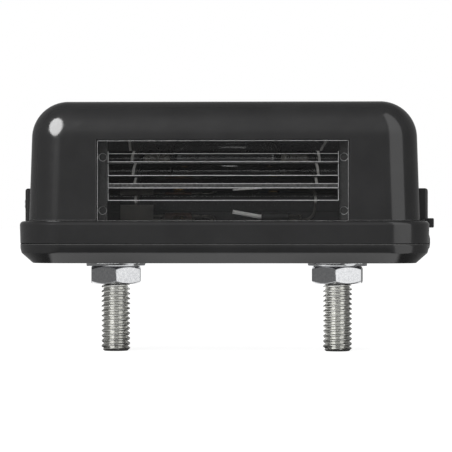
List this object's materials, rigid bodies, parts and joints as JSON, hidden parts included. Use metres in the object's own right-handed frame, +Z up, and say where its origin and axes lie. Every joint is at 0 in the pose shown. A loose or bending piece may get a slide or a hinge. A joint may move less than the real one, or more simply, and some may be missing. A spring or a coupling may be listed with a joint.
{
  "type": "number plate lamp",
  "caption": "Small black number plate lamp: a rounded hood with a clear prismatic front window, on a collar and base tray with two threaded studs, washers and nuts underneath.",
  "frame": {"origin": "on the mounting face under the base tray, half way between the two studs", "axes": "+X to the lamp's right seen from the front, along its length; the window faces -Y; +Z up, away from the studs, which point to -Z"},
  "size_m": [0.0829, 0.0418, 0.05],
  "materials": {
    "black_gloss": "moulded black plastic, satin to gloss",
    "clear_lens": "clear moulded acrylic, polished",
    "seal_rubber": "matt black rubber",
    "bright_zinc": "bright zinc plating",
    "carrier_plastic": "matt black moulded plastic",
    "contact_metal": "nickel-plated spring strip",
    "rivet_brass": "plain brass",
    "bulb_glass": "clear bulb glass",
    "cap_metal": "nickel-plated brass cap",
    "tungsten": "dark tungsten wire",
    "tinned_wire": "tinned copper wire",
    "red_sleeve": "dull red wire sleeve",
    "black_sleeve": "black wire sleeve"
  },
  "bodies": {
    "root": {"hood": "black_gloss", "lens": "clear_lens", "lens_seal": "seal_rubber", "hood_seal": "seal_rubber", "collar_frame": "black_gloss", "frame_seal": "seal_rubber", "base_tray": "black_gloss", "frame_screws": "bright_zinc", "side_screw": "bright_zinc", "carrier_plate": "carrier_plastic", "carrier_screws": "bright_zinc", "left_contact": "contact_metal", "right_contact": "contact_metal", "contact_rivets": "rivet_brass", "bulb_glass": "bulb_glass", "left_bulb_cap": "cap_metal", "right_bulb_cap": "cap_metal", "filament": "tungsten", "left_wire": "tinned_wire", "left_wire_sleeve": "red_sleeve", "right_wire": "tinned_wire", "right_wire_sleeve": "black_sleeve", "cable_grommet": "seal_rubber", "mounting_bolts": "bright_zinc", "flat_washers": "bright_zinc", "hex_nuts": "bright_zinc"}
  },
  "joints": []
}
